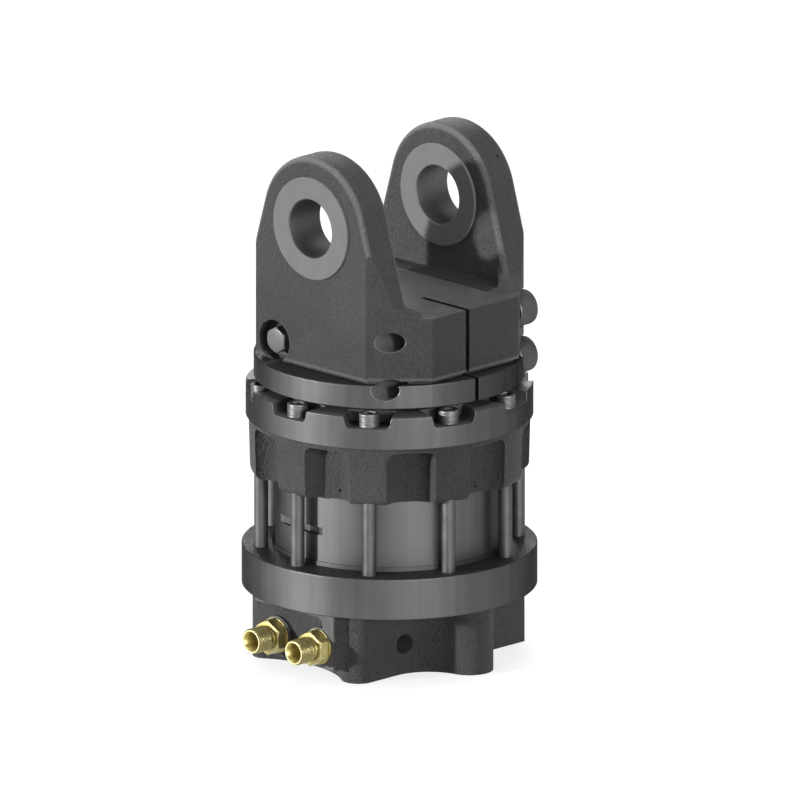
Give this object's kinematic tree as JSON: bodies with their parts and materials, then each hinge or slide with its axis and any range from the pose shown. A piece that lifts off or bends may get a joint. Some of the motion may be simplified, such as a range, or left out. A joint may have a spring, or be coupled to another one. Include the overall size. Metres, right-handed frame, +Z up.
{
  "type": "hydraulic rotator",
  "caption": "Hydraulic vane rotator: cross-shaped foot casting with two port fittings, tie-screwed cam ring and cover, and a clamped clevis with bushed pin ears on the shaft.",
  "frame": {"origin": "on the turning axis, at the underside of the foot, in the middle of the four ground bolts", "axes": "+Z up along the turning axis, +X along the clevis pin, -Y towards the clamp slit of the clevis, ports on the -X side"},
  "size_m": [0.314, 0.296, 0.5325],
  "materials": {
    "cast_iron": "oiled black sand casting with machined rims",
    "ground_steel": "turned and ground, blackened",
    "screw_steel": "black oxide",
    "zinc_steel": "bright zinc plated",
    "bush_steel": "hardened and ground, matt",
    "bronze": "plain bearing bronze",
    "seal_rubber": "nitrile rubber",
    "yellow_zinc": "yellow passivated zinc"
  },
  "bodies": {
    "housing": {"foot_casting": "cast_iron", "lower_side_plate": "ground_steel", "cam_ring": "ground_steel", "upper_side_plate": "ground_steel", "upper_cover": "cast_iron", "tie_screws": "screw_steel", "dowel_pins": "ground_steel", "lower_bush": "bronze", "upper_bush": "bronze", "thrust_race_upper": "ground_steel", "face_o_rings": "seal_rubber", "shaft_seal": "seal_rubber", "wiper_ring": "seal_rubber", "port_fitting_front": "yellow_zinc", "port_fitting_rear": "yellow_zinc", "port_washers": "yellow_zinc"},
    "rotor": {"shaft": "ground_steel", "drive_keys": "ground_steel", "rotor_drum": "ground_steel", "vane_springs": "ground_steel", "lock_nut": "ground_steel", "thrust_race_lower": "ground_steel", "clevis_casting": "cast_iron", "clamp_screws": "screw_steel", "lock_bolt": "zinc_steel", "pin_bush_left_outer": "bush_steel", "pin_bush_left_inner": "bush_steel", "pin_bush_right_inner": "bush_steel", "pin_bush_right_outer": "bush_steel"},
    "bearing_cage": {"thrust_rollers": "ground_steel", "thrust_cage": "bronze"},
    "vane_1": {"vane_1": "ground_steel"},
    "vane_2": {"vane_2": "ground_steel"},
    "vane_3": {"vane_3": "ground_steel"},
    "vane_4": {"vane_4": "ground_steel"},
    "vane_5": {"vane_5": "ground_steel"},
    "vane_6": {"vane_6": "ground_steel"},
    "vane_7": {"vane_7": "ground_steel"},
    "vane_8": {"vane_8": "ground_steel"}
  },
  "joints": [
    {"name": "rotation", "type": "hinge", "parent": "housing", "child": "rotor", "pos_m": [0, 0, 0.3], "axis": [0, 0, 1], "continuous": true},
    {"name": "cage_spin", "type": "hinge", "parent": "housing", "child": "bearing_cage", "pos_m": [0, 0, 0.21], "axis": [0, 0, 1], "continuous": true},
    {"name": "vane_1_slide", "type": "slide", "parent": "rotor", "child": "vane_1", "axis": [0.9239, 0.3827, 0], "range_m": [0, 0.0095]},
    {"name": "vane_2_slide", "type": "slide", "parent": "rotor", "child": "vane_2", "axis": [0.3827, 0.9239, 0], "range_m": [0, 0.0095]},
    {"name": "vane_3_slide", "type": "slide", "parent": "rotor", "child": "vane_3", "axis": [-0.3827, 0.9239, 0], "range_m": [0, 0.0095]},
    {"name": "vane_4_slide", "type": "slide", "parent": "rotor", "child": "vane_4", "axis": [-0.9239, 0.3827, 0], "range_m": [0, 0.0095]},
    {"name": "vane_5_slide", "type": "slide", "parent": "rotor", "child": "vane_5", "axis": [-0.9239, -0.3827, 0], "range_m": [0, 0.0095]},
    {"name": "vane_6_slide", "type": "slide", "parent": "rotor", "child": "vane_6", "axis": [-0.3827, -0.9239, 0], "range_m": [0, 0.0095]},
    {"name": "vane_7_slide", "type": "slide", "parent": "rotor", "child": "vane_7", "axis": [0.3827, -0.9239, 0], "range_m": [0, 0.0095]},
    {"name": "vane_8_slide", "type": "slide", "parent": "rotor", "child": "vane_8", "axis": [0.9239, -0.3827, 0], "range_m": [0, 0.0095]}
  ],
  "couplings": [
    {"joint": "cage_spin", "follows": "rotation", "ratio": 0.5},
    {"joint": "vane_3_slide", "follows": "vane_1_slide", "ratio": 1},
    {"joint": "vane_4_slide", "follows": "vane_2_slide", "ratio": 1},
    {"joint": "vane_5_slide", "follows": "vane_1_slide", "ratio": 1},
    {"joint": "vane_6_slide", "follows": "vane_2_slide", "ratio": 1},
    {"joint": "vane_7_slide", "follows": "vane_1_slide", "ratio": 1},
    {"joint": "vane_8_slide", "follows": "vane_2_slide", "ratio": 1}
  ]
}
